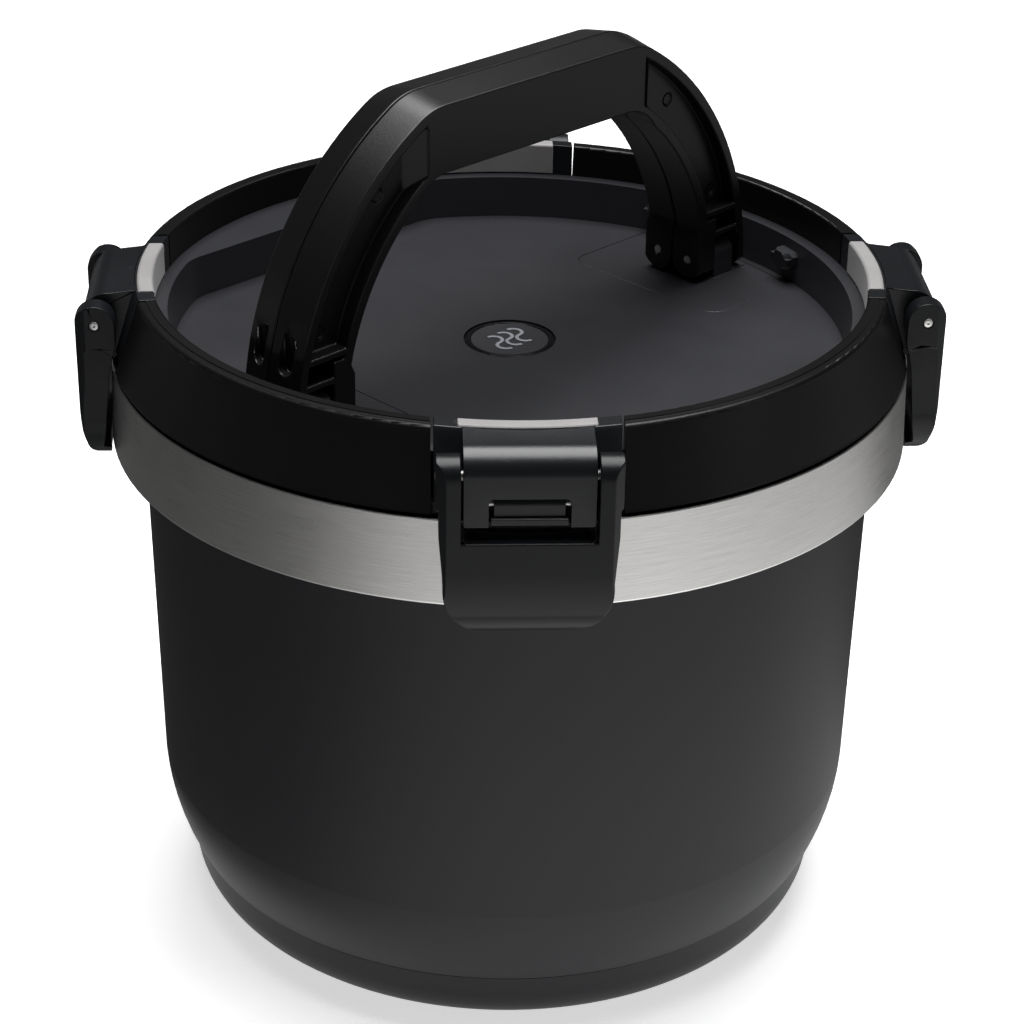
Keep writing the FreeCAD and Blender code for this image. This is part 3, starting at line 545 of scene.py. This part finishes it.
# ---- operators ------------------------------------------------------------------------------
class CROCK_OT_stage(bpy.types.Operator):
    """Lay the floor and set the lights and the camera"""

    bl_idname = "crock.stage"
    bl_label = "Stage"

    def execute(self, context):
        scene = context.scene
        stage, colours = scene.crock_stage, scene.crock_colours
        scene.view_settings.view_transform = "Standard"
        self.floor(context, stage.reach, studio_floor("studio floor", tuple(colours.floor)))
        self.card(context, bounce_card("graded bounce card", CARD_STOPS, stage.card))
        self.room(scene, stage.room)
        self.soft_box(context, *TOP_BOX, stage.top_power)
        self.soft_box(context, *SIDE_BOX, stage.side_power)
        self.camera(context, stage.lens)
        return {"FINISHED"}

    def floor(self, context, reach, material):
        work = bmesh.new()
        bmesh.ops.create_grid(work, x_segments=24, y_segments=24, size=reach)
        mesh = bpy.data.meshes.new("floor")
        work.to_mesh(mesh)
        work.free()
        floor = bpy.data.objects.new("floor", mesh)
        floor.data.materials.append(material)
        context.scene.collection.objects.link(floor)

    def card(self, context, material):
        """A ring just over the floor that only shows in what the crock mirrors."""
        work = bmesh.new()
        rings = []
        for radius in CARD_RINGS:
            ring = []
            for i in range(CARD_STEPS):
                a = 2 * math.pi * i / CARD_STEPS
                ring.append(work.verts.new((radius * math.cos(a), radius * math.sin(a), CARD_HEIGHT)))
            rings.append(ring)
        for inner, outer in zip(rings, rings[1:]):
            for i in range(CARD_STEPS):
                j = (i + 1) % CARD_STEPS
                work.faces.new((inner[i], outer[i], outer[j], inner[j]))
        mesh = bpy.data.meshes.new("bounce_card")
        work.to_mesh(mesh)
        work.free()
        card = bpy.data.objects.new("bounce_card", mesh)
        card.data.materials.append(material)
        context.scene.collection.objects.link(card)
        card.visible_camera = card.visible_diffuse = card.visible_shadow = False

    def room(self, scene, strength):
        world = bpy.data.worlds.new("white room")
        world.use_nodes = True
        background = world.node_tree.nodes["Background"]
        background.inputs["Color"].default_value = (1.0, 1.0, 1.0, 1.0)
        background.inputs["Strength"].default_value = strength
        scene.world = world

    def soft_box(self, context, name, place, target, width, height, power):
        light = bpy.data.lights.new(name, "AREA")
        light.shape = "RECTANGLE"
        light.size = width
        light.size_y = height
        light.energy = power
        box = bpy.data.objects.new(name, light)
        box.location = place
        box.rotation_mode = "QUATERNION"
        box.rotation_quaternion = (Vector(target) - Vector(place)).to_track_quat("-Z", "Y")
        context.scene.collection.objects.link(box)

    def camera(self, context, lens):
        """Looks down at the crock from in front, turned a little about its own line of sight."""
        reach, drop = math.cos(CAMERA_PITCH), math.sin(CAMERA_PITCH)
        ahead = Vector((math.sin(CAMERA_YAW) * reach, math.cos(CAMERA_YAW) * reach, -drop))
        level = Vector((math.cos(CAMERA_YAW), -math.sin(CAMERA_YAW), 0.0))
        fall = ahead.cross(level)
        right = math.cos(CAMERA_ROLL) * level + math.sin(CAMERA_ROLL) * fall
        down = math.cos(CAMERA_ROLL) * fall - math.sin(CAMERA_ROLL) * level
        turn = Matrix((right, -down, -ahead)).transposed().to_4x4()
        data = bpy.data.cameras.new("camera")
        data.lens = lens
        data.sensor_width = 36.0
        data.clip_start = 0.01
        camera = bpy.data.objects.new("camera", data)
        camera.matrix_world = turn_z(CAMERA_SWING) @ Matrix.Translation(CAMERA_PLACE) @ turn
        context.scene.collection.objects.link(camera)
        context.scene.camera = camera


class CROCK_OT_body(bpy.types.Operator):
    """Finish the shell, foot, band and pot"""

    bl_idname = "crock.body"
    bl_label = "Body"

    def execute(self, context):
        colours = context.scene.crock_colours
        steel = tuple(colours.steel)
        coat = powder_coat("powder coat", tuple(colours.body), roughness=0.50, specular=0.28)
        band = brushed_ring("brushed band", steel, roughness=0.30, anisotropy=0.45, contrast=0.22)
        pot = brushed_ring("drawn pot steel", steel, roughness=0.42, anisotropy=0.5, contrast=0.14)
        finish_nodes(coat, "outer_shell", "base_cup")
        finish_nodes(band, "steel_band")
        finish_nodes(pot, "inner_liner", "vacuum_button")
        finish_nodes(soft_rubber("foot rubber", (0.016, 0.016, 0.016), 0.75), "foot_ring")
        return {"FINISHED"}


class CROCK_OT_lid(bpy.types.Operator):
    """Finish the lid's mouldings, foam and seal"""

    bl_idname = "crock.lid"
    bl_label = "Lid"

    def execute(self, context):
        colours, detail = context.scene.crock_colours, context.scene.crock_detail
        skin = moulded("lid plastic", tuple(colours.plastic), roughness=0.34, grain=1500.0,
                       depth=0.000035, specular=0.22)
        deck = moulded("deck plastic", tuple(colours.deck), roughness=0.40, grain=1700.0,
                       depth=0.000045)
        finish_nodes(skin, "lid_collar")
        finish_nodes(deck, "lid_deck")
        for end in ("left", "right"):
            eased("hinge_plate_" + end, "lid", deck, "lid_plastic",
                  detail.lid_edge * HINGE_PLATE_EDGE_SHARE)
        finish_nodes(skin, "lid_plug")
        finish_nodes(rigid_foam("insulating foam", (0.80, 0.76, 0.66)), "lid_foam")
        finish_nodes(soft_rubber("seal silicone", tuple(colours.silicone), 0.6), "lid_gasket")
        return {"FINISHED"}


class CROCK_OT_medallion(bpy.types.Operator):
    """Build the medallion, with its ring and steam marks"""

    bl_idname = "crock.medallion"
    bl_label = "Medallion"

    def execute(self, context):
        colours = context.scene.crock_colours
        body, mark = tuple(colours.deck), tuple(colours.mark)
        disc = raised_marks("medallion plastic", body, mark, MARKS_TOP, MARKS_RING_RADIUS)
        eased("medallion", "lid", disc, "medallion_plastic", MEDALLION_EDGE)
        return {"FINISHED"}


class CROCK_OT_latches(bpy.types.Operator):
    """Build the four latches' brackets, pads, levers, catches and pins"""

    bl_idname = "crock.latches"
    bl_label = "Latches"

    def execute(self, context):
        colours, detail = context.scene.crock_colours, context.scene.crock_detail
        skin = moulded("latch plastic", tuple(colours.latch), roughness=0.33, grain=1600.0,
                       depth=0.00003, scuffs=0.5, specular=0.42)
        # The levers are the latch plastic with a lower sheen; its colour is darkened to nine tenths as
        # painted shade.
        shaded_satin = moulded("lever plastic painted darker", shade(tuple(colours.latch), 0.9), roughness=0.36, grain=1600.0,
                        depth=0.00003, scuffs=0.5, specular=0.24)
        grip = soft_rubber("grip silicone", tuple(colours.silicone), 0.55)
        steel = turned_pin("pin steel", tuple(colours.steel), 200.0)
        edge, pin = detail.latch_edge, (detail.pin_radius, detail.pin_dome)
        pins = []
        for side, azimuth in SIDES:
            eased("latch_bracket_" + side, "lid", skin, "latch_plastic", edge * BRACKET_EDGE_SHARE, 1)
            eased("grip_insert_" + side, "lid", grip, "grey_silicone", edge)
            eased("lever_" + side, "lever_" + side, shaded_satin, "latch_plastic", edge)
            eased("catch_" + side, "catch_" + side, skin, "latch_plastic", edge * CATCH_EDGE_SHARE)
            turn = turn_z(azimuth)
            centre = turn @ Vector((LEVER_PIVOT_RADIUS, 0.0, LEVER_PIVOT_HEIGHT))
            axis = turn.to_3x3() @ Vector((0.0, 1.0, 0.0))
            pins.append(pin_mesh("pin", centre, axis, LEVER_PIN_LENGTH, *pin))
        mesh = joined("lever_hinge_pins", pins)
        add_piece("lever_hinge_pins", mesh, "lid", steel, "pin_steel", "latch_pins")
        finish_nodes(steel, "catch_pins")
        return {"FINISHED"}


class CROCK_OT_handle(bpy.types.Operator):
    """Build the two halves of the handle and their hinge pins"""

    bl_idname = "crock.handle"
    bl_label = "Handle"

    def execute(self, context):
        colours, detail = context.scene.crock_colours, context.scene.crock_detail
        skin = moulded("handle plastic", tuple(colours.handle), roughness=0.34, grain=1400.0,
                       depth=0.00003, scuffs=0.4, specular=0.38)
        steel = turned_pin("hinge pin steel", tuple(colours.steel), 240.0)
        for half in ("front", "rear"):
            eased("bail_" + half, "bail_" + half, skin, "handle_plastic", detail.handle_edge)
        along = Vector((math.cos(HANDLE_TURN), math.sin(HANDLE_TURN), 0.0))
        across = Vector((-along.y, along.x, 0.0))
        up = Vector((0.0, 0.0, HANDLE_PIN_HEIGHT))
        pin = (detail.pin_radius, detail.pin_dome)
        pins = []
        for end in (-HANDLE_PIN_REACH, HANDLE_PIN_REACH):
            for side in (-HANDLE_PIN_OFFSET, HANDLE_PIN_OFFSET):
                centre = along * end + across * side + up
                pins.append(pin_mesh("pin", centre, along, HANDLE_PIN_LENGTH, *pin))
        mesh = joined("handle_hinge_pins", pins)
        add_piece("handle_hinge_pins", mesh, "lid", steel, "pin_steel", "bail_pins")
        return {"FINISHED"}


class CROCK_PT_panel(bpy.types.Panel):
    """Steps and settings of the crock"""

    bl_idname = "CROCK_PT_panel"
    bl_label = "Crock"
    bl_space_type = "VIEW_3D"
    bl_region_type = "UI"
    bl_category = "Crock"

    def draw(self, context):
        layout = self.layout
        for step in STEPS:
            layout.operator(step.bl_idname)
        scene = context.scene
        for group in (scene.crock_colours, scene.crock_detail, scene.crock_stage):
            box = layout.box()
            for name in group.bl_rna.properties.keys():
                if name not in ("rna_type", "name"):
                    box.prop(group, name)


STEPS = (CROCK_OT_stage, CROCK_OT_body, CROCK_OT_lid, CROCK_OT_medallion, CROCK_OT_latches,
         CROCK_OT_handle)
CLASSES = (CrockColours, CrockDetail, CrockStage) + STEPS + (CROCK_PT_panel,)


def register():
    for cls in CLASSES:
        bpy.utils.register_class(cls)
    bpy.types.Scene.crock_colours = PointerProperty(type=CrockColours)
    bpy.types.Scene.crock_detail = PointerProperty(type=CrockDetail)
    bpy.types.Scene.crock_stage = PointerProperty(type=CrockStage)


def unregister():
    del bpy.types.Scene.crock_stage
    del bpy.types.Scene.crock_detail
    del bpy.types.Scene.crock_colours
    for cls in reversed(CLASSES):
        bpy.utils.unregister_class(cls)


def main():
    register()
    for step in STEPS:
        area, name = step.bl_idname.split(".")
        getattr(getattr(bpy.ops, area), name)()


if __name__ == "__main__":
    main()
